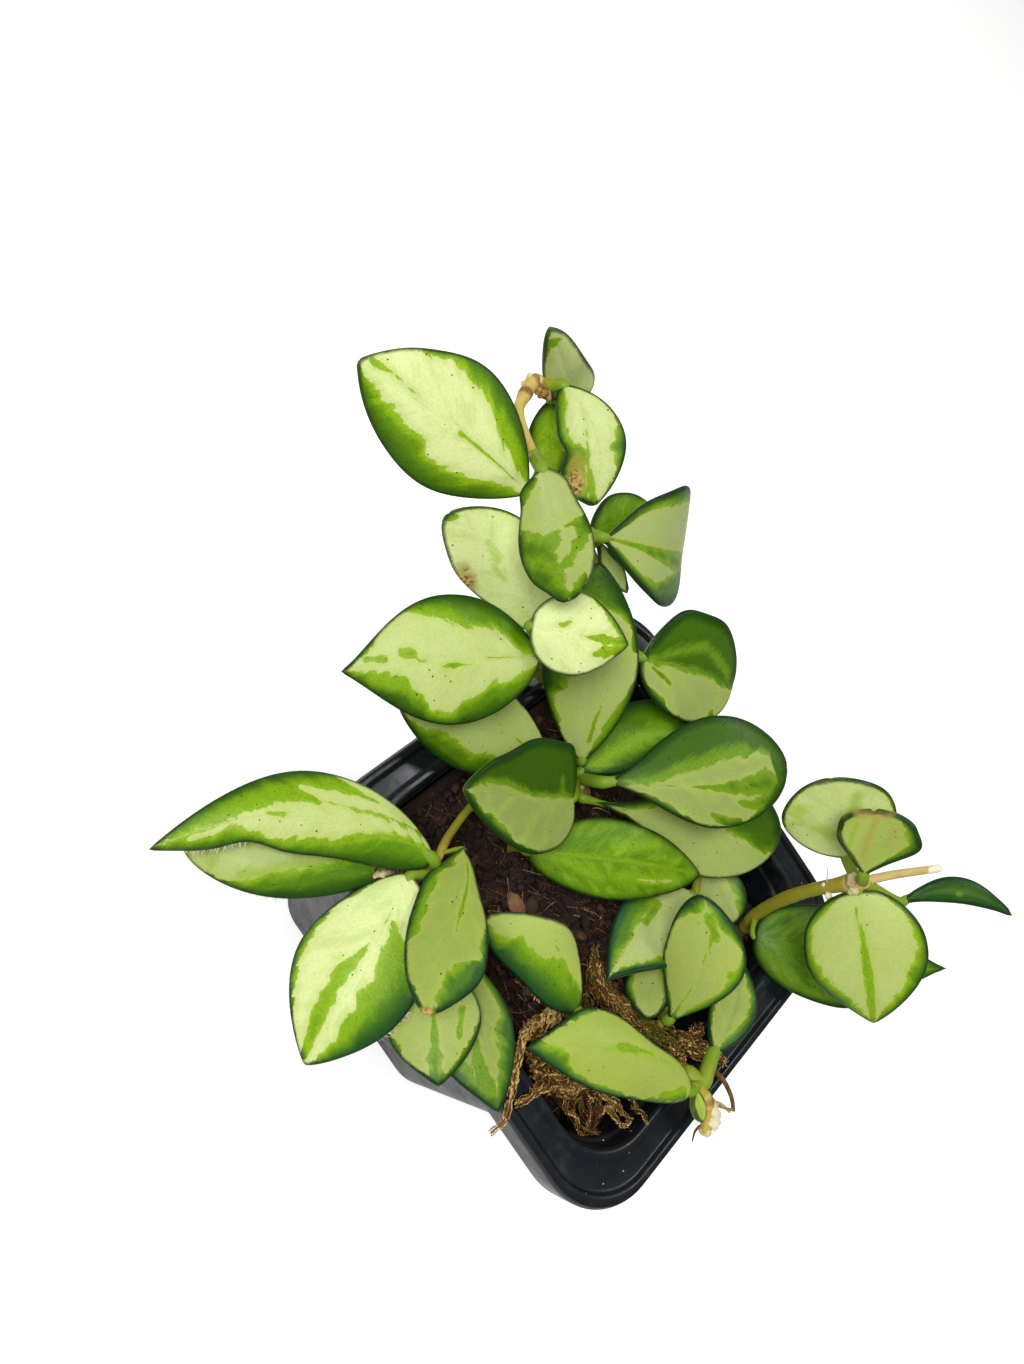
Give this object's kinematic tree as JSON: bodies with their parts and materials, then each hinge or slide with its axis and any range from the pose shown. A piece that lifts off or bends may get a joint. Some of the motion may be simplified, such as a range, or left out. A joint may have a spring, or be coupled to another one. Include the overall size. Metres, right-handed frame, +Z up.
{
  "type": "potted variegated hoya vine",
  "caption": "Variegated hoya with trailing leafy stems, rooted in potting mix in a small square nursery pot; stands on its flat base.",
  "frame": {"origin": "centre of the pot's base, on the surface it stands on", "axes": "+Z up; +X and +Y along the pot's sides; the longest vine leans out over the -X side and a leafy stem creeps over the -Y rim"},
  "size_m": [0.1427, 0.105, 0.1115],
  "materials": {
    "pot": "satin",
    "soil": "matte",
    "leaf": "satin",
    "moss": "matte"
  },
  "bodies": {
    "root": {"pot": "pot", "potting_mix": "soil", "long_vine": "leaf", "middle_vine": "leaf", "left_vine": "leaf", "right_vine": "leaf", "centre_shoot": "leaf", "corner_shoot": "leaf", "broad_leaf": "leaf", "near_leaf": "leaf", "moss_patch": "moss", "moss_fringe": "moss"}
  },
  "joints": []
}
